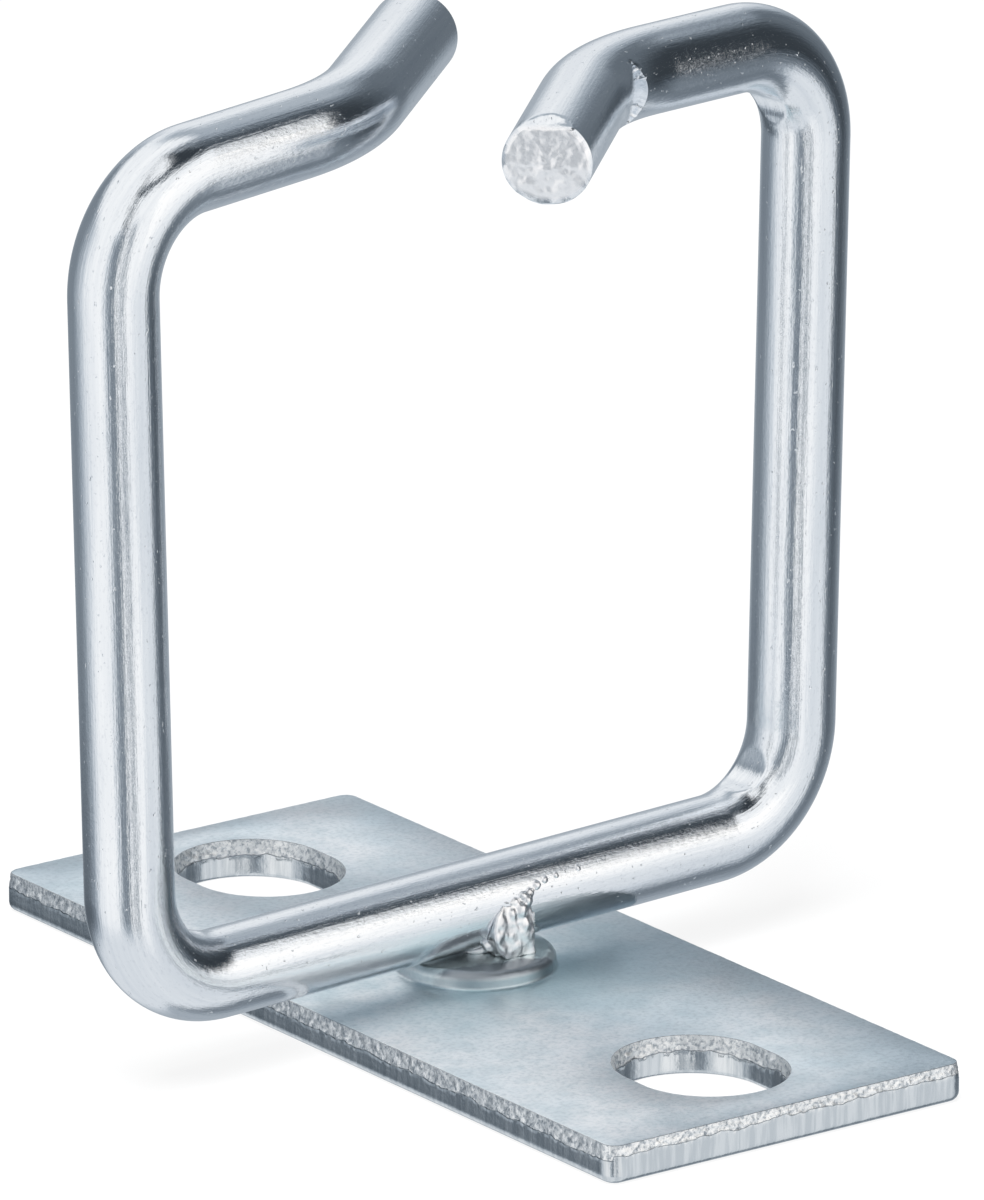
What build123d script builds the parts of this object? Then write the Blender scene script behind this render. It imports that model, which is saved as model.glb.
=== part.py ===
from build123d import *
import os
from math import cos, radians, sin, sqrt

# Cable management ring: an open square ring of bent round wire, welded to the boss of a
# punched sheet steel plate that screws to a rack upright through its two oval holes.
# Millimetres and degrees. The origin is the middle of the plate's underside, +Z is up,
# the plate's long side runs along Y and the ring stands across it.

# Base plate, with the metal that is left beside and beyond its holes
plate_thickness = 1.7
plate_corner_radius = 0.7
hole_spacing = 31.75
hole_width = 6.4
hole_length = 7.65
side_margin = 5.95
end_margin = 2.3
plate_length = hole_spacing + hole_length + 2 * end_margin
plate_width = hole_width + 2 * side_margin

# Sheared edges: the punch rolls the lower edge over and tears the upper part outwards
# in the holes and inwards on the outline
edge_roll = 0.4
tear_depth = 0.7
outline_tear = 0.1
hole_roll = 0.2
hole_tear = 0.15

# Round boss, pressed up out of the plate by a punch from below
boss_diameter = 6.8
boss_height = 0.75
boss_top_radius = 0.4
boss_foot_radius = 0.15
punch_clearance = 0.35

# Wire ring
wire_diameter = 3.8
inside_width = 32.4
inside_height = 31.0
bend_radius = 4.6
end_bend_radius = 10.4
splay_angle = 1.4
ring_angle = 4.3
ring_offset = -0.53
end_chamfer = 0.2

# Free ends: the lengths run from one corner point of the bent wire to the next. Skew is
# how far the arm leaves the ring's plane, turn how far the end bends out of it, and the
# rises are measured from the horizontal.
left_arm_length = 13.5
left_arm_skew_angle = 4.4
left_arm_rise_angle = 2.0
left_end_length = 11.8
left_end_turn_angle = 31.9
left_end_rise_angle = 2.1
right_arm_length = 13.1
right_arm_skew_angle = 5.5
right_arm_rise_angle = 1.7
right_end_length = 11.6
right_end_turn_angle = 34.3
right_end_rise_angle = -1.0

# Marks of the bending tool: a dent inside each square bend, where the wire was pressed
# on the pin, and a step inside each end bend, where the edge of the jaw dug in
pin_diameter = 3.0
pin_mark_depth = 0.28
jaw_step_start = 2.2
jaw_step_depth = 0.5
jaw_mark_length = 2.4

# Weld metal: a nugget between wire and boss, and a splash that stands on the boss and
# climbs the front of the wire. The splash ends in an upright edge on one side, and its
# heights are measured from the wire's axis.
weld_root = 0.1
nugget_diameter = 1.8
splash_edge = 2.0
splash_foot_width = 1.5
splash_width = 2.2
splash_top_width = 0.8
splash_top_height = 0.9
splash_wide_drop = 0.9
splash_thickness = 0.3

wire_radius = wire_diameter / 2
boss_radius = boss_diameter / 2
boss_top = plate_thickness + boss_height
axis_height = boss_top + weld_root + wire_radius

ring_plane = Plane(
    origin=(ring_offset, 0, axis_height),
    x_dir=(cos(radians(ring_angle)), sin(radians(ring_angle)), 0),
    z_dir=(0, 0, 1),
)


def heading(turn, rise):
    """Unit vector at a turn from the ring's own X axis, rising from the horizontal."""
    across = cos(radians(rise))
    local = Vector(cos(radians(turn)) * across, sin(radians(turn)) * across, sin(radians(rise)))
    return ring_plane.from_local_coords(local) - ring_plane.origin


# Corner points of the wire, from the left tip round to the right one
half_width = (inside_width + wire_diameter) / 2
upright_length = inside_height + wire_diameter
lower_left = ring_plane.origin + heading(180, 0) * half_width
lower_right = ring_plane.origin + heading(0, 0) * half_width
upper_left = lower_left + heading(180, 90 - splay_angle) * upright_length
upper_right = lower_right + heading(0, 90 - splay_angle) * upright_length
left_elbow = upper_left + heading(left_arm_skew_angle, left_arm_rise_angle) * left_arm_length
left_end = heading(left_arm_skew_angle + left_end_turn_angle, left_end_rise_angle)
left_tip = left_elbow + left_end * left_end_length
right_elbow = upper_right + heading(180 + right_arm_skew_angle, right_arm_rise_angle) * right_arm_length
right_end = heading(180 + right_arm_skew_angle + right_end_turn_angle, right_end_rise_angle)
right_tip = right_elbow + right_end * right_end_length
corners = [
    left_tip,
    left_elbow,
    upper_left,
    lower_left,
    lower_right,
    upper_right,
    right_elbow,
    right_tip,
]


def bend_plane(before, corner, after, radius):
    """Plane of the bend in a corner, with its origin at the bend's centre.

    Its X axis points from the centre to the corner and its Z axis is the bend's axis.
    """
    back = (before - corner).normalized()
    ahead = (after - corner).normalized()
    inward = (back + ahead).normalized()
    half_angle = radians(back.get_angle(ahead)) / 2
    centre = corner + inward * (radius / sin(half_angle))
    return Plane(origin=centre, x_dir=-inward, z_dir=back.cross(ahead))


# Base plate, with its boss, the punch's recess under it and two oval holes
with BuildPart() as base_plate:
    with BuildSketch():
        RectangleRounded(plate_width, plate_length, plate_corner_radius)
    extrude(amount=plate_thickness)
    outline_top = base_plate.edges().group_by(Axis.Z)[-1]
    outline_bottom = base_plate.edges().group_by(Axis.Z)[0]
    fillet(outline_bottom, radius=edge_roll)
    outer_faces = base_plate.faces().sort_by(Axis.Z)
    chamfer(outline_top, length=outline_tear, length2=tear_depth, reference=outer_faces[-1])

    with BuildSketch(Plane.XY.offset(plate_thickness)):
        Circle(boss_radius)
    extrude(amount=boss_height)
    boss_foot = base_plate.edges(Select.LAST).group_by(Axis.Z)[0]
    fillet(boss_foot, radius=boss_foot_radius)
    boss_rim = base_plate.edges().group_by(Axis.Z)[-1]
    fillet(boss_rim, radius=boss_top_radius)
    with BuildSketch():
        Circle(boss_radius - punch_clearance)
    extrude(amount=boss_height, mode=Mode.SUBTRACT)

    with BuildSketch():
        with GridLocations(0, hole_spacing, 1, 2):
            SlotOverall(hole_length, hole_width, rotation=90)
    extrude(amount=plate_thickness, mode=Mode.SUBTRACT)
    hole_edges = base_plate.edges(Select.LAST).group_by(Axis.Z)
    plate_top = base_plate.faces().filter_by(Plane.XY).sort_by(Axis.Z)[-2]
    chamfer(hole_edges[-1], length=hole_tear, length2=tear_depth, reference=plate_top)
    fillet(hole_edges[0], radius=hole_roll)
base_plate.part.label = "base_plate"

# Wire ring, swept along its bent centre line, with the tool's marks cut out of it
with BuildPart() as wire_ring:
    with BuildLine() as centre_line:
        FilletPolyline(corners, radius=[end_bend_radius] + [bend_radius] * 4 + [end_bend_radius])
    path = centre_line.wire()
    with BuildSketch(Plane(origin=path @ 0, z_dir=path % 0)):
        Circle(wire_radius)
    sweep(path=path)
    end_faces = wire_ring.faces().filter_by(GeomType.PLANE)
    chamfer(end_faces.edges(), length=end_chamfer)

    pin_centre = bend_radius - wire_radius + pin_mark_depth - pin_diameter / 2
    for before, corner, after in zip(corners[1:5], corners[2:6], corners[3:7]):
        with BuildSketch(bend_plane(before, corner, after, bend_radius)):
            with Locations((pin_centre, 0)):
                Circle(pin_diameter / 2)
        extrude(amount=wire_diameter, both=True, mode=Mode.SUBTRACT)

    inside_radius = end_bend_radius - wire_radius
    jaw_mark_end = jaw_step_start + jaw_mark_length
    step_top = -sqrt(inside_radius**2 - jaw_step_start**2)
    mark_top = -sqrt(inside_radius**2 - jaw_mark_end**2)
    for arm_start, elbow, tip in (
        (upper_left, left_elbow, left_tip),
        (upper_right, right_elbow, right_tip),
    ):
        bend = bend_plane(arm_start, elbow, tip, end_bend_radius)
        with BuildSketch(Plane(origin=bend.origin, x_dir=elbow - arm_start, z_dir=-bend.z_dir)):
            with BuildLine():
                Polyline(
                    (jaw_step_start, step_top - jaw_step_depth),
                    (jaw_mark_end, mark_top),
                    (jaw_mark_end, mark_top + wire_radius),
                    (jaw_step_start, mark_top + wire_radius),
                    close=True,
                )
            make_face()
        extrude(amount=wire_diameter, both=True, mode=Mode.SUBTRACT)
wire_ring.part.label = "wire_ring"

# Weld metal. The splash's outline is drawn in front view and its thickness in section,
# and the wire is cut out of it, so that it lies on the wire and the boss face to face.
front_plane = Plane(origin=ring_plane.origin, x_dir=ring_plane.x_dir, z_dir=-ring_plane.y_dir)
section_plane = Plane(origin=ring_plane.origin, x_dir=ring_plane.y_dir, z_dir=ring_plane.x_dir)
boss_drop = axis_height - boss_top
splash_reach = wire_radius + splash_thickness

with BuildPart() as weld_bead:
    with BuildSketch(front_plane):
        with BuildLine():
            foot_start = (splash_edge - splash_foot_width, -boss_drop)
            top_start = (splash_edge - splash_top_width, splash_top_height)
            Polyline(top_start, (splash_edge, splash_top_height), (splash_edge, -boss_drop), foot_start)
            Spline(foot_start, (splash_edge - splash_width, -splash_wide_drop), top_start)
        make_face()
    extrude(amount=splash_reach)
    with BuildSketch(section_plane):
        with BuildLine():
            splash_foot = (-splash_reach, -boss_drop)
            splash_top = (-sqrt(wire_radius**2 - splash_top_height**2), splash_top_height)
            Polyline(splash_top, (0, splash_top_height), (0, -boss_drop), splash_foot)
            Spline(splash_foot, (-splash_reach, -splash_wide_drop), splash_top)
        make_face()
    extrude(amount=wire_diameter, both=True, mode=Mode.INTERSECT)
    with BuildSketch(Plane.XY.offset(boss_top)):
        Circle(nugget_diameter / 2)
    extrude(amount=wire_radius)
    add(wire_ring.part, mode=Mode.SUBTRACT)
weld_bead.part.label = "weld_bead"

os.makedirs("parts", exist_ok=True)
export_step(base_plate.part, "parts/base_plate.step")
export_step(wire_ring.part, "parts/wire_ring.step")
export_step(weld_bead.part, "parts/weld_bead.step")
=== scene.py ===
import math
import random

import bmesh
import bpy
import numpy as np
from mathutils import Matrix, Quaternion, Vector, noise


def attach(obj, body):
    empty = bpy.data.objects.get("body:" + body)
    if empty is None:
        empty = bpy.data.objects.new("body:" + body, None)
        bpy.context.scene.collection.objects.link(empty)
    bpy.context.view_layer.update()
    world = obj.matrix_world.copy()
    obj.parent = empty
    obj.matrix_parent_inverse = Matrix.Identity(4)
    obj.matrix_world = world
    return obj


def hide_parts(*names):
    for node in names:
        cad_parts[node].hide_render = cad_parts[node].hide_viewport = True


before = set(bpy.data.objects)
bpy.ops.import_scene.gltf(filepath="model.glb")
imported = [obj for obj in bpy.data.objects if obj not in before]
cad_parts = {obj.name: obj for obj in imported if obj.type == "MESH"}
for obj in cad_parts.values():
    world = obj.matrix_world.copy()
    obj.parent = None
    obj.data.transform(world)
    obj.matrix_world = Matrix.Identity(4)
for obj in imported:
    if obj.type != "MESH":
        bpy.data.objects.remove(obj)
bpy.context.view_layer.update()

body = "root"
mm = 0.001

# Sizes of the plate, in millimetres, as the solids have them
plate_length = 44.0
plate_width = 18.3
plate_thickness = 1.7
plate_corner_radius = 0.7
hole_spacing = 31.75
hole_width = 6.4
hole_length = 7.65
edge_roll = 0.4
tear_depth = 0.7
outline_tear = 0.1
hole_roll = 0.2
hole_tear = 0.15
boss_radius = 3.4
boss_height = 0.75
boss_top_radius = 0.4
boss_foot_radius = 0.15
punch_clearance = 0.35

# Sizes of the wire, in millimetres and degrees, as the solids have them
wire_radius = 1.9
inside_width = 32.4
inside_height = 31.0
bend_radius = 4.6
end_bend_radius = 10.4
splay = 1.4
ring_turn = 4.3
ring_offset = -0.53
end_chamfer = 0.2
weld_root = 0.1
arms = {
    "left": {"side": 180, "arm": (13.5, 4.4, 2.0), "end": (11.8, 31.9, 2.1)},
    "right": {"side": 0, "arm": (13.1, 5.5, 1.7), "end": (11.6, 34.3, -1.0)},
}
pin_radius = 1.5
pin_mark_depth = 0.28
jaw_step_start = 2.2
jaw_mark_length = 2.4
axis_height = plate_thickness + boss_height + weld_root + wire_radius

# Relief that only the visual pieces have. The swept section stays just inside the solid, and
# the edge of the jaw's step is bowed: by so much at 1.5 mm beside its middle.
wire_relief = 0.006
jaw_groove_depth = 0.40
jaw_bow = 0.9
# Facets that the cutter left on the right end, one on its top and one on its face: length
# along the wire and drop at the end face
top_facet = (0.9, 0.5)
face_facet = (0.5, 1.9)
facet_wave = 0.07

# Mesh steps, in millimetres
wire_step = 0.22
wire_sides = 112
loop_step = 0.09


# Bent wire

def heading(turn, rise):
    """Unit vector at a turn from the ring's own X axis, rising from the horizontal."""
    turn, rise = math.radians(turn + ring_turn), math.radians(rise)
    return Vector((math.cos(turn) * math.cos(rise), math.sin(turn) * math.cos(rise), math.sin(rise)))


def wire_corners():
    """Corner points of the wire's axis, from the left tip round to the right one."""
    middle = Vector((ring_offset, 0, axis_height))
    found = []
    for name in ("left", "right"):
        side = arms[name]["side"]
        lower = middle + heading(side, 0) * (inside_width / 2 + wire_radius)
        upper = lower + heading(side, 90 - splay) * (inside_height + 2 * wire_radius)
        length, skew, rise = arms[name]["arm"]
        elbow = upper + heading(side + 180 + skew, rise) * length
        length, turn, rise = arms[name]["end"]
        tip = elbow + heading(side + 180 + skew + turn, rise) * length
        found.append([tip, elbow, upper, lower])
    return found[0] + found[1][::-1]


def bends(points, radii):
    """Centre, axis, first point and turn of the arc in each corner."""
    found = []
    for before, corner, after, radius in zip(points, points[1:], points[2:], radii):
        back, ahead = (before - corner).normalized(), (after - corner).normalized()
        half = back.angle(ahead) / 2
        centre = corner + (back + ahead).normalized() * (radius / math.sin(half))
        start = corner + back * (radius / math.tan(half))
        axis = ahead.cross(back).normalized()
        found.append({
            "centre": centre, "axis": axis, "start": start, "turn": math.pi - 2 * half,
            "radius": radius, "back": back, "ahead": ahead, "corner": corner,
        })
    return found


def wire_stations(points, arcs, step):
    """Points and headings along the wire's axis, run by run and arc by arc."""
    stations = []
    at = points[0]
    for arc in arcs + [None]:
        goal = points[-1] if arc is None else arc["start"]
        run = goal - at
        count = max(2, round(run.length / step))
        for i in range(count):
            stations.append((at + run * (i / count), run.normalized()))
        if arc is None:
            stations.append((goal, run.normalized()))
            break
        count = max(4, round(arc["turn"] * arc["radius"] / step))
        for i in range(count):
            turn = Quaternion(arc["axis"], arc["turn"] * i / count)
            place = arc["centre"] + turn @ (arc["start"] - arc["centre"])
            stations.append((place, turn @ -arc["back"]))
        at = arc["centre"] + Quaternion(arc["axis"], arc["turn"]) @ (arc["start"] - arc["centre"])
    return stations


def press_pin_marks(cloud, arcs):
    """Pushes what lies inside each bending pin's cylinder out to its surface."""
    inside_radius = bend_radius - wire_radius
    for arc in arcs:
        centre, axis, corner = (np.array(arc[key]) for key in ("centre", "axis", "corner"))
        outward = (corner - centre) / np.linalg.norm(corner - centre)
        offset = cloud - centre - outward * (inside_radius + pin_mark_depth - pin_radius)
        across = offset - (offset @ axis)[..., None] * axis
        distance = np.linalg.norm(across, axis=-1)
        inside = distance < pin_radius
        cloud[inside] += across[inside] * (pin_radius / distance[inside] - 1)[:, None]


def cut_jaw_step(cloud, arc, forwards):
    """Sinks the wedge that the edge of the jaw left on the inside of an end bend.

    The rows of points beside the jaw's edge first slide along the wire onto it, so that
    the step's wall is clean.
    """
    along = np.array(-arc["back"] if forwards else -arc["ahead"])
    axis = np.array(arc["axis"] if forwards else -arc["axis"])
    towards = np.cross(axis, along)
    centre = np.array(arc["centre"])
    inside_radius = arc["radius"] - wire_radius
    mark_end = jaw_step_start + jaw_mark_length
    top = -math.sqrt(inside_radius**2 - jaw_step_start**2) - jaw_groove_depth
    far = -math.sqrt(inside_radius**2 - mark_end**2)
    offset = cloud - centre
    y, side = offset @ towards, offset @ axis
    bow = jaw_bow * np.clip(side / 1.5, -1.3, 1.3)**2
    x = offset @ along - bow
    near = (y < 0) & (y > -arc["radius"] - 2 * wire_radius) & (abs(side) < 2 * wire_radius)
    for j in range(cloud.shape[1]):
        for i in range(cloud.shape[0] - 1):
            low, high = (i, i + 1) if forwards else (i + 1, i)
            if near[i, j] and x[low, j] < jaw_step_start <= x[high, j]:
                run = cloud[high, j] - cloud[low, j]
                share = (jaw_step_start - x[low, j]) / (x[high, j] - x[low, j])
                wall = cloud[low, j] + run * share
                cloud[low, j], cloud[high, j] = wall - run * 0.02, wall + run * 0.02
    offset = cloud - centre
    x, y = offset @ along - bow, offset @ towards
    floor = top + (far - top) * (x - jaw_step_start) / jaw_mark_length
    sunk = near & (x >= jaw_step_start) & (x <= mark_end) & (y > floor)
    cloud[sunk] += (floor - y)[sunk][:, None] * towards


def build_wire():
    points = wire_corners()
    radii = [end_bend_radius] + [bend_radius] * 4 + [end_bend_radius]
    arcs = bends(points, radii)
    stations = wire_stations(points, arcs, wire_step)
    side = stations[0][1].orthogonal().normalized()
    place, straight = [], []
    travelled = 0.0
    section_radius = wire_radius - wire_relief
    previous = stations[0]
    for at, ahead in stations:
        side = previous[1].rotation_difference(ahead) @ side
        side = (side - ahead * side.dot(ahead)).normalized()
        travelled += (at - previous[0]).length
        previous = (at, ahead)
        other = ahead.cross(side)
        for i in range(wire_sides):
            turn = 2 * math.pi * i / wire_sides
            c, s = math.cos(turn) * section_radius, math.sin(turn) * section_radius
            place.append(at + side * c + other * s)
            straight.append((travelled, c, s))
    cloud = np.array([tuple(p) for p in place]).reshape(len(stations), wire_sides, 3)
    press_pin_marks(cloud, arcs[1:5])
    cut_jaw_step(cloud, arcs[0], False)
    cut_jaw_step(cloud, arcs[5], True)
    return stations, cloud.reshape(-1, 3), np.array(straight)


def add_mesh(name, vertices, faces, material_names, face_materials=None, layers=None, sharp=35):
    """Object from millimetre points, riding on the body, with per-point layers."""
    mesh = bpy.data.meshes.new(name)
    mesh.from_pydata([tuple(v * mm for v in p) for p in vertices], [], faces)
    mesh.validate()
    for material in material_names:
        mesh.materials.append(material)
    if face_materials is not None:
        mesh.polygons.foreach_set("material_index", face_materials)
    for layer, values in (layers or {}).items():
        kind = "FLOAT" if np.ndim(values) == 1 else "FLOAT_VECTOR"
        attribute = mesh.attributes.new(layer, kind, "POINT")
        field = "value" if kind == "FLOAT" else "vector"
        attribute.data.foreach_set(field, np.asarray(values, np.float32).ravel())
    mesh.polygons.foreach_set("use_smooth", [True] * len(mesh.polygons))
    mesh.set_sharp_from_angle(angle=math.radians(sharp))
    piece = bpy.data.objects.new(name, mesh)
    bpy.context.scene.collection.objects.link(piece)
    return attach(piece, body)


def press_facet(vertices, tip, outward, side, facet):
    """Slopes one side of an end down towards its face, a little unevenly."""
    length, drop = facet
    normal = (outward * drop + side * length).normalized()
    foot = tip + side * wire_radius - outward * length
    for index, point in enumerate(vertices):
        spot = Vector(point)
        if (spot - tip).length > 2 * wire_radius:
            continue
        above = (spot - foot).dot(normal) + facet_wave * noise.fractal(spot * 1.3, 1.0, 2.0, 3)
        if above > 0:
            vertices[index] = tuple(spot - normal * above)


def make_wire(material):
    stations, cloud, straight = build_wire()
    count = len(stations)
    vertices = [tuple(p) for p in cloud]
    faces = []
    for i in range(count - 1):
        for j in range(wire_sides):
            k = (j + 1) % wire_sides
            a, b = i * wire_sides, (i + 1) * wire_sides
            faces.append((a + j, a + k, b + k, b + j))
    straight = [tuple(p) for p in straight]
    cap_rings = 22
    end_face = [0.0] * len(vertices)
    relief = []
    for first, outward in ((0, -stations[0][1]), ((count - 1) * wire_sides, stations[-1][1])):
        rim = [Vector(vertices[first + j]) for j in range(wire_sides)]
        middle = sum(rim, Vector()) / wire_sides
        for j in range(wire_sides):
            # the rim is drawn back, as the chamfer of the solid is
            vertices[first + j] = tuple(rim[j] - outward * end_chamfer)
        last = first
        for ring in range(cap_rings):
            share = 1 - ring / cap_rings
            start = len(vertices)
            for j in range(wire_sides):
                radius = (wire_radius - end_chamfer) / wire_radius * share
                p = middle + (rim[j] - middle) * radius
                rough = 0.045 * noise.fractal(p * 2.2, 1.0, 2.0, 4) * min(1.0, ring / 2)
                relief.append((len(vertices), outward * (rough - 0.04)))
                vertices.append(tuple(p))
                run, c, s = straight[first + j]
                straight.append((run, c * radius, s * radius))
                end_face.append(1.0)
            for j in range(wire_sides):
                k = (j + 1) % wire_sides
                quad = (last + j, start + j, start + k, last + k)
                faces.append(quad if first == 0 else quad[::-1])
            last = start
        relief.append((len(vertices), outward * -0.05))
        vertices.append(tuple(middle))
        straight.append((straight[first][0], 0.0, 0.0))
        end_face.append(1.0)
        for j in range(wire_sides):
            k = (j + 1) % wire_sides
            triangle = (last + j, len(vertices) - 1, last + k)
            faces.append(triangle if first == 0 else triangle[::-1])
    press_facet(vertices, *stations[-1], Vector((0, 0, -1)), face_facet)
    for index, shift in relief:
        vertices[index] = tuple(Vector(vertices[index]) + shift)
    press_facet(vertices, *stations[-1], Vector((0, 0, 1)), top_facet)
    piece = add_mesh("ring_wire", vertices, faces, [material],
                     layers={"straight": straight, "sheared": end_face}, sharp=40)
    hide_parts("wire_ring")
    return piece


# Plate

def rounded_outline(width, length, radius, step):
    """Points and outward headings round a rounded rectangle, anticlockwise."""
    points = []
    for cx, cy, start in ((1, 1, 0), (-1, 1, 90), (-1, -1, 180), (1, -1, 270)):
        centre = Vector((cx * (width / 2 - radius), cy * (length / 2 - radius)))
        arc_count = max(3, round(radius * math.pi / 2 / step))
        for i in range(arc_count + 1):
            turn = math.radians(start + 90 * i / arc_count)
            out = Vector((math.cos(turn), math.sin(turn)))
            points.append((centre + out * radius, out))
        after = {0: (-1, 1), 90: (-1, -1), 180: (1, -1), 270: (1, 1)}[start]
        goal_centre = Vector((after[0] * (width / 2 - radius), after[1] * (length / 2 - radius)))
        goal = goal_centre + out * radius
        run = goal - points[-1][0]
        run_count = max(1, round(run.length / step))
        for i in range(1, run_count):
            points.append((points[-1][0] + run / run_count, out))
    return points


def lay_loop(bm, outline, centre, inset, height, layer, value):
    """One closed loop of points, drawn in from the outline, at a height."""
    loop = []
    for index, (point, out) in enumerate(outline):
        draw = inset[index] if hasattr(inset, "__len__") else inset
        high = height[index] if hasattr(height, "__len__") else height
        flat = centre + point - out * draw
        vertex = bm.verts.new((flat.x, flat.y, high))
        vertex[layer] = value[index] if hasattr(value, "__len__") else value
        loop.append(vertex)
    return loop


def join_loops(bm, lower, upper, flip, material=0):
    count = len(lower)
    for i in range(count):
        k = (i + 1) % count
        quad = (lower[i], lower[k], upper[k], upper[i])
        face = bm.faces.new(quad[::-1] if flip else quad)
        face.material_index = material


# Value of the plate's "torn" layer on the burnished wall, between 0 on its flat faces and 1
# where the metal tore, and the small rounding of the torn wall's rim
burnished = 0.5
rim_drop = 0.03
rim_width = 0.05
# On the plate's short sides the torn part starts this much higher
short_side_rise = 0.22


def sheared_wall(bm, outline, centre, roll, tear, hole, layer):
    """Wall of a punched edge, from the underside up: rolled, burnished, then torn.

    Returns its lowest and its highest loop.
    """
    sign = -1 if hole else 1
    loops = []
    for i in range(6):
        turn = math.radians(90 * i / 5)
        loops.append(lay_loop(bm, outline, centre, sign * roll * (1 - math.sin(turn)),
                              roll * (1 - math.cos(turn)), layer, burnished if i else 0.0))
    places = [(centre + point).to_3d() for point, out in outline]
    wave = [noise.fractal(p * 0.55, 1.0, 2.0, 3) for p in places]
    fine = [noise.fractal(p * 2.4 + Vector((7, 3, 1)), 1.0, 2.0, 3) for p in places]
    border = [plate_thickness - tear_depth + 0.14 * a + 0.07 * b for a, b in zip(wave, fine)]
    border = [b + short_side_rise * (abs(p.y) > plate_length / 2 - 0.2) for p, b in zip(places, border)]
    for share in (0.25, 0.5, 0.75):
        height = [roll + (b - roll) * share for b in border]
        loops.append(lay_loop(bm, outline, centre, 0.0, height, layer, burnished))
    loops.append(lay_loop(bm, outline, centre, 0.0, border, layer, burnished))
    steps = 10
    for i in range(1, steps + 1):
        share = i / steps
        height = [b + (plate_thickness - rim_drop - b) * share for b in border]
        ease = min(1.0, 2.5 * (1 - share) + 0.25)
        inset = []
        for p, h in zip(places, height):
            spot = Vector((p.x * 3.0, p.y * 3.0, h * 4.0))
            tooth = noise.fractal(spot, 0.8, 2.1, 4)
            inset.append(sign * (tear * (0.25 + 0.75 * share) - 0.06 * tooth * ease))
        inset = [max(0.0, sign * value) * sign for value in inset]
        loops.append(lay_loop(bm, outline, centre, inset, height, layer, 1.0))
    inset = [value + sign * rim_width for value in inset]
    loops.append(lay_loop(bm, outline, centre, inset, plate_thickness, layer, 0.0))
    for lower, upper in zip(loops, loops[1:]):
        join_loops(bm, lower, upper, hole)
    return loops[0], loops[-1]


def revolve_loops(bm, profile, step_count, layer):
    """Closed surface of revolution from a list of (radius, height), open at both ends."""
    loops = []
    for radius, height in profile:
        outline = []
        for i in range(step_count):
            turn = 2 * math.pi * i / step_count
            out = Vector((math.cos(turn), math.sin(turn)))
            outline.append((out * radius, out))
        loops.append(lay_loop(bm, outline, Vector((0, 0)), 0.0, height, layer, 0.0))
    for lower, upper in zip(loops, loops[1:]):
        join_loops(bm, lower, upper, False)
    return loops


def fill_between(bm, loops, up):
    edges = []
    for loop in loops:
        for i in range(len(loop)):
            edges.append(bm.edges.get((loop[i], loop[(i + 1) % len(loop)])))
    made = bmesh.ops.triangle_fill(bm, use_beauty=True, edges=edges)
    for face in (g for g in made["geom"] if isinstance(g, bmesh.types.BMFace)):
        face.normal_update()
        if (face.normal.z > 0) != up:
            face.normal_flip()


def boss_profile():
    """Radius and height from the boss's foot to the middle of its top."""
    top = plate_thickness + boss_height
    profile = []
    for i in range(5):
        turn = math.radians(90 * i / 4)
        profile.append((boss_radius + boss_foot_radius * (1 - math.sin(turn)),
                        plate_thickness + boss_foot_radius * (1 - math.cos(turn))))
    for i in range(13):
        turn = math.radians(90 * i / 12)
        profile.append((boss_radius - boss_top_radius * (1 - math.cos(turn)),
                        top - boss_top_radius * (1 - math.sin(turn))))
    inner = boss_radius - boss_top_radius
    profile += [(inner * share, top) for share in (0.9, 0.8, 0.7, 0.6, 0.5, 0.4, 0.3, 0.2, 0.1)]
    return profile


def make_plate(material):
    bm = bmesh.new()
    layer = bm.verts.layers.float.new("torn")
    middle = Vector((0, 0))
    outline = rounded_outline(plate_width, plate_length, plate_corner_radius, loop_step)
    bottom, top = sheared_wall(bm, outline, middle, edge_roll, outline_tear, False, layer)
    bottoms, tops = [bottom], [top]
    slot = rounded_outline(hole_width, hole_length, hole_width / 2 - 0.001, loop_step)
    for side in (-1, 1):
        centre = Vector((0, side * hole_spacing / 2))
        bottom, top = sheared_wall(bm, slot, centre, hole_roll, hole_tear, True, layer)
        bottoms.append(bottom)
        tops.append(top)
    sides = 168
    boss = revolve_loops(bm, boss_profile(), sides, layer)
    tops.append(boss[0])
    peak = bm.verts.new((0, 0, plate_thickness + boss_height))
    for i in range(sides):
        bm.faces.new((boss[-1][i], boss[-1][(i + 1) % sides], peak))
    recess = boss_radius - punch_clearance
    hollow = revolve_loops(bm, [(recess * share, boss_height) for share in (0.25, 0.5, 0.75, 1.0)]
                           + [(recess, boss_height / 2), (recess, 0.0)], sides, layer)
    crown = bm.verts.new((0, 0, boss_height))
    for i in range(sides):
        bm.faces.new((hollow[0][(i + 1) % sides], hollow[0][i], crown))
    bottoms.append(hollow[-1])
    fill_between(bm, tops, True)
    fill_between(bm, bottoms, False)
    bmesh.ops.recalc_face_normals(bm, faces=bm.faces)
    for vertex in bm.verts:
        flat = math.hypot(vertex.co.x, vertex.co.y)
        if flat < boss_radius + boss_foot_radius and vertex.co.z > boss_height:
            lump = noise.fractal(vertex.co * 0.9, 1.0, 2.0, 3)
            high = (vertex.co.z - plate_thickness) / boss_height
            vertex.co.z += 0.05 * lump * max(0.0, high)
    bm.transform(Matrix.Scale(mm, 4))
    mesh = bpy.data.meshes.new("mounting_plate")
    bm.to_mesh(mesh)
    bm.free()
    mesh.validate()
    mesh.materials.append(material)
    mesh.polygons.foreach_set("use_smooth", [True] * len(mesh.polygons))
    mesh.set_sharp_from_angle(angle=math.radians(35))
    piece = bpy.data.objects.new("mounting_plate", mesh)
    bpy.context.scene.collection.objects.link(piece)
    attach(piece, body)
    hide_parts("base_plate")
    return piece


# Weld

weld_voxel = 0.06
weld_lump = 0.07
weld_grain = 0.02
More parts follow.
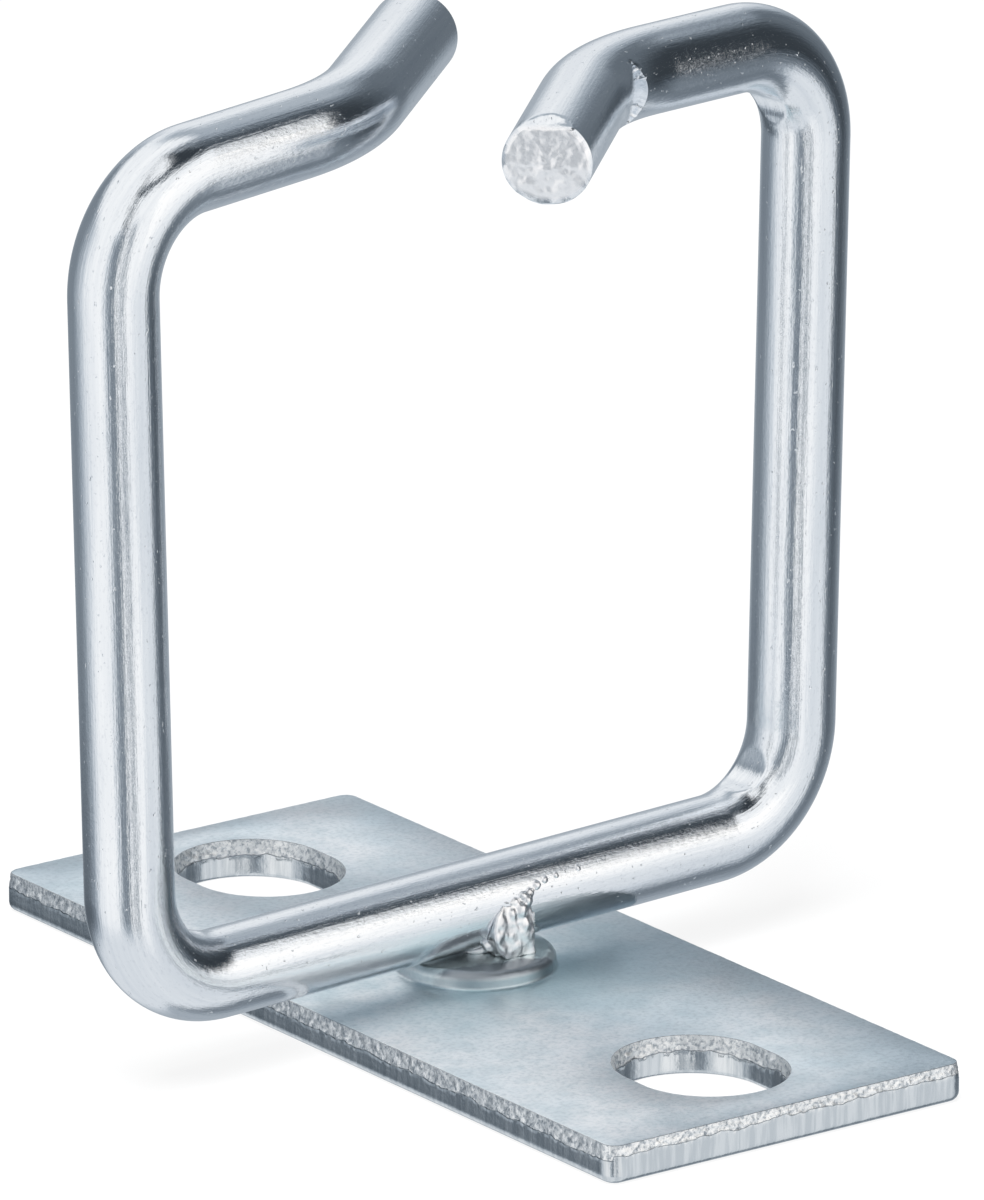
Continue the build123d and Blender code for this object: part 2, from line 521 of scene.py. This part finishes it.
# Droplets on the front of the wire: distance along it from the ring's middle, angle above
# its front, size, and how far their middle lies outside the wire's surface
weld_droplets = (
    (0.10, -46, 0.32, 0.10), (0.60, -50, 0.38, 0.30), (1.15, -51, 0.40, 0.34), (1.70, -50, 0.36, 0.26),
    (0.45, -30, 0.38, 0.03), (1.00, -24, 0.44, 0.04), (1.55, -20, 0.40, 0.06), (0.85, -4, 0.34, -0.10),
    (1.40, 0, 0.38, -0.06), (1.15, 11, 0.20, -0.06), (1.78, 9, 0.28, 0.00), (1.60, 17, 0.18, -0.05),
    (2.00, 18, 0.24, -0.06), (2.45, 25, 0.26, -0.12), (3.00, 29, 0.22, -0.12), (3.60, 31, 0.19, -0.11),
    (4.10, 32, 0.13, -0.07), (4.90, 34, 0.22, -0.15),
)


def make_weld(material):
    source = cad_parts["weld_bead"]
    bm = bmesh.new()
    bm.from_mesh(source.data)
    bm.transform(Matrix.Scale(1 / mm, 4))
    middle = Vector((ring_offset, 0, axis_height))
    along, across = heading(0, 0), heading(90, 0)
    for distance, angle, size, lift in weld_droplets:
        tilt = math.radians(angle)
        out = -across * math.cos(tilt) + Vector((0, 0, 1)) * math.sin(tilt)
        place = middle + along * distance + out * (wire_radius + lift)
        ball = bmesh.ops.create_icosphere(bm, subdivisions=3, radius=size)
        bmesh.ops.translate(bm, verts=ball["verts"], vec=place)
    mesh = bpy.data.meshes.new("weld_metal")
    bm.to_mesh(mesh)
    bm.free()
    piece = bpy.data.objects.new("weld_metal", mesh)
    bpy.context.scene.collection.objects.link(piece)
    remesh = piece.modifiers.new("remesh", "REMESH")
    remesh.mode = "VOXEL"
    remesh.voxel_size = weld_voxel
    smooth = piece.modifiers.new("smooth", "SMOOTH")
    smooth.factor = 0.5
    smooth.iterations = 5
    depsgraph = bpy.context.evaluated_depsgraph_get()
    melted = bpy.data.meshes.new_from_object(piece.evaluated_get(depsgraph))
    piece.modifiers.clear()
    piece.data = melted
    foot = plate_thickness + boss_height
    for vertex in melted.vertices:
        spot = vertex.co.copy()
        lump = noise.fractal(spot * 1.5, 1.0, 2.0, 2) * weld_lump
        grain = noise.fractal(spot * 4.0, 1.0, 2.0, 2) * weld_grain
        vertex.co += vertex.normal * (lump + grain)
        vertex.co.z = max(vertex.co.z, foot - 0.02)
    melted.transform(Matrix.Scale(mm, 4))
    melted.materials.clear()
    melted.materials.append(material)
    melted.polygons.foreach_set("use_smooth", [True] * len(melted.polygons))
    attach(piece, body)
    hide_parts("weld_bead")
    return piece


# Materials

class Nodes:
    """Short calls for building a material's node tree."""

    def __init__(self, name):
        self.material = bpy.data.materials.new(name)
        self.material.use_nodes = True
        self.tree = self.material.node_tree
        self.shader = self.tree.nodes["Principled BSDF"]

    def add(self, kind, inputs=None, **settings):
        node = self.tree.nodes.new(kind)
        for key, value in settings.items():
            setattr(node, key, value)
        for key, value in (inputs or {}).items():
            self.put(node.inputs[key], value)
        return node

    def put(self, socket, value):
        if isinstance(value, bpy.types.NodeSocket):
            self.tree.links.new(value, socket)
        else:
            socket.default_value = value

    def scaled(self, vector, scale):
        return self.add("ShaderNodeVectorMath", {0: vector, 1: scale}, operation="MULTIPLY").outputs[0]

    def noise(self, vector, scale, detail=3.0, rough=0.55):
        node = self.add("ShaderNodeTexNoise", {"Vector": vector, "Scale": scale, "Detail": detail,
                                               "Roughness": rough})
        return node.outputs["Fac"]

    def ramp(self, value, low, high, first, last):
        """The value's range from low to high, spread from first to last and clamped."""
        node = self.add("ShaderNodeMapRange", {"Value": value, "From Min": low, "From Max": high,
                                               "To Min": first, "To Max": last})
        return node.outputs["Result"]

    def maths(self, operation, first, second):
        return self.add("ShaderNodeMath", {0: first, 1: second}, operation=operation).outputs[0]

    def mix(self, share, first, second):
        node = self.add("ShaderNodeMix", data_type="RGBA")
        self.put(node.inputs["Factor"], share)
        self.put(node.inputs["A"], first)
        self.put(node.inputs["B"], second)
        return node.outputs["Result"]

    def bump(self, height, strength, distance, under=None):
        node = self.add("ShaderNodeBump", {"Height": height, "Strength": strength, "Distance": distance})
        if under is not None:
            self.put(node.inputs["Normal"], under)
        return node.outputs["Normal"]

    def set(self, **values):
        for key, value in values.items():
            self.put(self.shader.inputs[key.replace("_", " ")], value)


def wire_material():
    n = Nodes("zinc_plated_wire")
    straight = n.add("ShaderNodeAttribute", attribute_name="straight").outputs["Vector"]
    sheared = n.add("ShaderNodeAttribute", attribute_name="sheared").outputs["Fac"]
    lines = n.noise(n.scaled(straight, (0.20, 11.0, 11.0)), 1.0, 4.0, 0.6)
    streaks = n.noise(n.scaled(straight, (0.10, 2.2, 2.2)), 1.0, 3.0, 0.6)
    grain = n.noise(n.scaled(straight, (3.4, 8.0, 8.0)), 1.0, 4.0, 0.65)
    ripple = n.noise(n.scaled(straight, (0.9, 2.4, 2.4)), 1.0, 2.0, 0.5)
    pits = n.noise(n.scaled(straight, (3.4, 5.0, 5.0)), 1.0, 2.0, 0.5)
    pit = n.ramp(pits, 0.70, 0.76, 0.0, 1.0)
    colour = n.mix(n.ramp(streaks, 0.35, 0.65, 0.0, 1.0), (0.89, 0.915, 0.94, 1), (0.79, 0.825, 0.865, 1))
    colour = n.mix(n.ramp(grain, 0.55, 0.75, 0.0, 0.4), colour, (0.56, 0.60, 0.66, 1))
    colour = n.mix(sheared, colour, (0.97, 0.97, 0.98, 1))
    rough = n.ramp(grain, 0.3, 0.7, 0.04, 0.11)
    rough = n.maths("ADD", rough, n.maths("MULTIPLY", sheared, 0.28))
    height = n.maths("ADD", n.maths("MULTIPLY", lines, 0.4), n.maths("MULTIPLY", grain, 0.4))
    height = n.maths("ADD", height, n.maths("MULTIPLY", ripple, 0.4))
    height = n.maths("SUBTRACT", height, n.maths("MULTIPLY", pit, 0.8))
    normal = n.bump(height, 0.6, 0.00003)
    n.set(Base_Color=colour, Metallic=1.0, Roughness=rough, Normal=normal)
    return n.material


def sheet_material():
    """Sheet zinc: clouded on the flat faces, striped on the burnished wall, granular where torn."""
    n = Nodes("zinc_plated_sheet")
    place = n.add("ShaderNodeTexCoord").outputs["Object"]
    shear = n.add("ShaderNodeAttribute", attribute_name="torn").outputs["Fac"]
    torn = n.ramp(shear, 0.6, 0.9, 0.0, 1.0)
    wall = n.ramp(shear, 0.1, 0.4, 0.0, 1.0)
    cloud = n.noise(place, 130.0, 3.0, 0.6)
    mottle = n.noise(place, 700.0, 4.0, 0.7)
    speckle = n.noise(place, 4600.0, 3.0, 0.6)
    stripes = n.noise(n.scaled(place, (3800.0, 3800.0, 350.0)), 1.0, 2.0, 0.6)
    chips = n.noise(place, 5200.0, 3.0, 0.65)
    flat = n.scaled(place, (1.0, 1.0, 0.0))
    reach = n.add("ShaderNodeVectorMath", {0: flat}, operation="LENGTH").outputs["Value"]
    raised = n.ramp(reach, 0.00335, 0.00345, 1.0, 0.0)
    # painted reflection: a teal darkening round the boss, where the wire and weld are mirrored in the plate,
    # fading out by 10.5 mm and patchy with the clouds
    painted_reflection_round_boss = n.maths("MULTIPLY", n.ramp(reach, 0.0042, 0.0105, 0.6, 0.0), n.ramp(cloud, 0.36, 0.56, 0.3, 1.0))
    # painted shade and reflection: a dark patch on the boss's front flank, towards this heading in the plate's
    # plane, with a mottled edge
    facing = n.add("ShaderNodeVectorMath", {0: place, 1: (-0.24, -0.97, 0.0)}, operation="DOT_PRODUCT")
    ragged = n.maths("ADD", facing.outputs["Value"], n.maths("MULTIPLY", mottle, 0.0012))
    painted_shade_on_boss_flank = n.maths("MULTIPLY", n.ramp(ragged, 0.0026, 0.0029, 0.0, 0.85), raised)
    border = n.maths("MULTIPLY", n.ramp(shear, 0.52, 0.62, 0.0, 0.7), n.ramp(shear, 0.80, 0.95, 1.0, 0.0))
    colour = n.mix(n.ramp(cloud, 0.38, 0.62, 0.0, 1.0), (0.95, 0.97, 0.99, 1), (0.80, 0.89, 0.94, 1))
    colour = n.mix(n.ramp(mottle, 0.42, 0.74, 0.0, 0.5), colour, (0.62, 0.74, 0.79, 1))
    colour = n.mix(n.ramp(speckle, 0.45, 0.75, 0.0, 0.5), colour, (0.50, 0.58, 0.63, 1))
    # teal painted reflection of the wire and weld round the boss
    colour = n.mix(painted_reflection_round_boss, colour, (0.48, 0.67, 0.73, 1))
    colour = n.mix(n.maths("MULTIPLY", raised, 0.6), colour, (0.86, 0.91, 0.90, 1))
    # dark painted shade and reflection on the boss's front flank
    colour = n.mix(painted_shade_on_boss_flank, colour, (0.30, 0.33, 0.37, 1))
    striped = n.mix(n.ramp(stripes, 0.40, 0.60, 0.0, 1.0), (0.62, 0.66, 0.69, 1), (0.77, 0.80, 0.82, 1))
    granular = n.mix(n.ramp(chips, 0.36, 0.54, 0.0, 1.0), (0.44, 0.48, 0.52, 1), (0.97, 0.98, 0.98, 1))
    colour = n.mix(torn, n.mix(wall, colour, striped), granular)
    colour = n.mix(border, colour, (0.16, 0.19, 0.22, 1))
    rough = n.ramp(mottle, 0.3, 0.7, 0.32, 0.44)
    rough = n.maths("SUBTRACT", rough, n.maths("MULTIPLY", wall, 0.18))
    rough = n.maths("ADD", rough, n.maths("MULTIPLY", torn, 0.2))
    height = n.maths("ADD", n.maths("MULTIPLY", speckle, 0.7), n.maths("MULTIPLY", mottle, 0.9))
    height = n.maths("ADD", height, n.maths("MULTIPLY", n.maths("MULTIPLY", wall, stripes), 0.6))
    height = n.maths("ADD", height, n.maths("MULTIPLY", n.maths("MULTIPLY", torn, chips), 3.0))
    normal = n.bump(height, 0.5, 0.00003)
    n.set(Base_Color=colour, Metallic=1.0, Roughness=rough, Normal=normal)
    return n.material


def weld_material():
    n = Nodes("zinc_plated_weld")
    place = n.add("ShaderNodeTexCoord").outputs["Object"]
    spots = n.noise(place, 2200.0, 3.0, 0.6)
    colour = n.mix(n.ramp(spots, 0.45, 0.7, 0.0, 1.0), (0.98, 0.98, 0.99, 1), (0.87, 0.89, 0.91, 1))
    normal = n.bump(spots, 0.3, 0.00003)
    n.set(Base_Color=colour, Metallic=1.0, Roughness=0.32, Normal=normal)
    return n.material


make_wire(wire_material())
make_plate(sheet_material())
make_weld(weld_material())

# Share of the floor that glows by itself, so that the shadow stays faint, and the lamp's power
floor_glow = 0.9
lamp_power = 28.0

# Camera, placed as the photograph's
view_azimuth = -35.947
view_elevation = 17.403
view_distance = 690.15
view_lens = 495.0
view_target = Vector((0, 0, 21.365))
aim_right = 0.674
aim_up = -3.354


def make_camera():
    turn, rise = math.radians(view_azimuth), math.radians(view_elevation)
    back = Vector((math.sin(turn) * math.cos(rise), -math.cos(turn) * math.cos(rise), math.sin(rise)))
    right = Vector((math.cos(turn), math.sin(turn), 0))
    up = back.cross(right)
    place = view_target + back * view_distance
    aim = view_target + right * aim_right + up * aim_up
    data = bpy.data.cameras.new("camera")
    data.lens = view_lens
    data.sensor_width = 36.0
    data.clip_start, data.clip_end = 0.01, 10.0
    camera = bpy.data.objects.new("camera", data)
    camera.location = place * mm
    camera.rotation_mode = "QUATERNION"
    camera.rotation_quaternion = (aim - place).to_track_quat("-Z", "Y")
    bpy.context.scene.collection.objects.link(camera)
    bpy.context.scene.camera = camera


# Studio: a white floor and world, a lamp for the shadow, and a tent of soft panels and dark
# flags that only reflections see. Azimuths are degrees from the camera, positive to its right,
# and levels run from 0 for black to 1 for white.
tent_radius = 0.22
cloth_level = 0.25
panel_level = 1.0
back_cloth_level = 0.45
back_panel_level = 0.9
flag_level = 0.05
rear_roof_level = 0.5
below_level = 0.8
seam_level = 0.05
dark_tint = (0.82, 1.0, 1.19)
# Panels by their soft edges: the first rises between two angles, the second falls between two.
# Three stand side by side in front, one hangs behind, and one is the crown.
left_panel = (-118, -56, -32, -12)
strip_panel = (0, 3, 10, 14)
right_panel = (18, 22, 200, 210)
back_panel = (2, 18, 36, 52)
crown_panel = (62, 70, 100, 110)
panel_edge = 88.0


def eased(value, first, last):
    share = min(1.0, max(0.0, (value - first) / (last - first)))
    return share * share * (3 - 2 * share)


def blend(low, high, share):
    return low + (high - low) * share


def lit(angle, panel):
    """Share of a panel's light at an angle across it."""
    return eased(angle, panel[0], panel[1]) * (1 - eased(angle, panel[2], panel[3]))


def tent_level(azimuth, elevation):
    """Brightness of the tent: front panels, a flag to the right, the back and the crown."""
    front_light = lit(azimuth, left_panel) + lit(azimuth, strip_panel) + lit(azimuth, right_panel)
    front = blend(cloth_level, panel_level, front_light)
    if azimuth > 45:
        front *= 0.82 + 0.36 * eased(elevation, -20, 16)
    front *= 1 - 0.5 * eased(-elevation, 18, 24) * eased(-azimuth, 76, 96)
    gap = eased(azimuth, -12, -7) * (1 - eased(azimuth, -3, 1))
    roof = blend(panel_level, seam_level, gap)
    front = blend(front, roof, eased(elevation, 26, 36))
    front = blend(front, below_level, eased(-elevation, 28, 44))
    flag = flag_level + 0.14 * eased(-elevation, 4, 36) + 0.12 * eased(azimuth, 106, 140)
    flag += 0.10 * eased(-elevation, -2, 12) * (1 - eased(azimuth, 96, 112))
    rear = blend(0.10, rear_roof_level, eased(azimuth, 108, 148))
    flag = blend(flag, rear, eased(elevation, 38, 50))
    edge = panel_edge + 0.42 * max(0, elevation - 24) + 8 * eased(-elevation, 18, 38)
    soft = 1.2 + 7 * eased(-elevation, 14, 36)
    back = blend(back_cloth_level, back_panel_level, lit(elevation, back_panel))
    back = blend(back, panel_level, lit(elevation, crown_panel))
    back_start = blend(148, 134, eased(-elevation, 0, 14))
    if azimuth > 0:
        level = blend(front, flag, eased(azimuth, edge - soft, edge + soft))
        level = blend(level, back, eased(azimuth, back_start, back_start + 30))
    else:
        level = blend(front, back, eased(-azimuth, 146, 172))
    side = eased(azimuth, 40, 75)
    crown = eased(elevation, 62, 66) * (1 - gap) * (1 - side * (1 - eased(azimuth, 125, 150)))
    level = blend(level, panel_level, crown)
    seam = eased(elevation, 50 - 5 * side, 54 - 5 * side) * (1 - eased(elevation, 58 + 40 * side, 62 + 40 * side))
    return blend(level, seam_level, seam * eased(azimuth, -6, 0) * (1 - eased(azimuth, 96, 112)))


def make_tent():
    camera_turn = math.radians(view_azimuth)
    right = Vector((math.cos(camera_turn), math.sin(camera_turn), 0))
    back = Vector((math.sin(camera_turn), -math.cos(camera_turn), 0))
    columns, rows = 360, 120
    vertices, faces, colours = [], [], []
    for row in range(rows + 1):
        elevation = -90 + 180 * row / rows
        for column in range(columns):
            azimuth = -180 + 360 * column / columns
            rise, turn = math.radians(elevation), math.radians(azimuth)
            flat = right * math.sin(turn) + back * math.cos(turn)
            vertices.append((flat * math.cos(rise) + Vector((0, 0, math.sin(rise)))) * tent_radius)
            level = tent_level(azimuth, elevation)
            tint = [1 + (t - 1) * (1 - level) for t in dark_tint]
            colours.append([level * t for t in tint])
    for row in range(rows):
        for column in range(columns):
            beside = (column + 1) % columns
            a, b = row * columns, (row + 1) * columns
            faces.append((a + column, b + column, b + beside, a + beside))
    mesh = bpy.data.meshes.new("tent")
    mesh.from_pydata([tuple(v) for v in vertices], [], faces)
    layer = mesh.attributes.new("glow", "FLOAT_VECTOR", "POINT")
    layer.data.foreach_set("vector", np.array(colours, np.float32).ravel())
    n = Nodes("tent")
    n.material.cycles.emission_sampling = "NONE"
    glow = n.add("ShaderNodeAttribute", attribute_name="glow").outputs["Vector"]
    light = n.add("ShaderNodeEmission", {"Color": glow, "Strength": 1.0})
    n.put(n.tree.nodes["Material Output"].inputs["Surface"], light.outputs[0])
    mesh.materials.append(n.material)
    tent = bpy.data.objects.new("tent", mesh)
    tent.location = view_target * mm
    bpy.context.scene.collection.objects.link(tent)
    tent.visible_camera = False
    tent.visible_diffuse = False
    tent.visible_shadow = False


def make_floor():
    n = Nodes("floor")
    n.set(Base_Color=(0.95, 0.96, 0.97, 1), Roughness=0.9, Specular_IOR_Level=0.0)
    glow = n.add("ShaderNodeEmission", {"Color": (1, 1, 1, 1), "Strength": 1.0})
    both = n.add("ShaderNodeMixShader", {"Fac": floor_glow})
    n.put(both.inputs[1], n.shader.outputs[0])
    n.put(both.inputs[2], glow.outputs[0])
    n.put(n.tree.nodes["Material Output"].inputs["Surface"], both.outputs[0])
    n.material.cycles.emission_sampling = "NONE"
    half = 1.4
    mesh = bpy.data.meshes.new("floor")
    mesh.from_pydata([(-half, -half, 0), (half, -half, 0), (half, half, 0), (-half, half, 0)], [],
                     [(0, 1, 2, 3)])
    mesh.materials.append(n.material)
    floor = bpy.data.objects.new("floor", mesh)
    floor.visible_glossy = False
    bpy.context.scene.collection.objects.link(floor)


def make_world():
    """White to the camera, reflections and refractions, and no light on the floor."""
    world = bpy.data.worlds.new("studio")
    world.use_nodes = True
    bpy.context.scene.world = world
    tree = world.node_tree
    background = tree.nodes["Background"]
    path = tree.nodes.new("ShaderNodeLightPath")
    first = tree.nodes.new("ShaderNodeMath")
    first.operation = "MAXIMUM"
    tree.links.new(path.outputs["Is Camera Ray"], first.inputs[0])
    tree.links.new(path.outputs["Is Glossy Ray"], first.inputs[1])
    second = tree.nodes.new("ShaderNodeMath")
    second.operation = "MAXIMUM"
    tree.links.new(first.outputs[0], second.inputs[0])
    tree.links.new(path.outputs["Is Transmission Ray"], second.inputs[1])
    tree.links.new(second.outputs[0], background.inputs["Strength"])
    background.inputs["Color"].default_value = (1, 1, 1, 1)


def make_lamp(name, place, size, power):
    data = bpy.data.lights.new(name, "AREA")
    data.shape = "SQUARE"
    data.size = size
    data.energy = power
    lamp = bpy.data.objects.new(name, data)
    lamp.location = Vector(place)
    lamp.rotation_mode = "QUATERNION"
    lamp.rotation_quaternion = (-lamp.location).to_track_quat("-Z", "Y")
    lamp.visible_glossy = False
    bpy.context.scene.collection.objects.link(lamp)


make_camera()
make_tent()
make_floor()
make_world()
make_lamp("overhead", (-0.35, -0.25, 1.1), 0.7, lamp_power)

bpy.context.scene.view_settings.view_transform = "Standard"
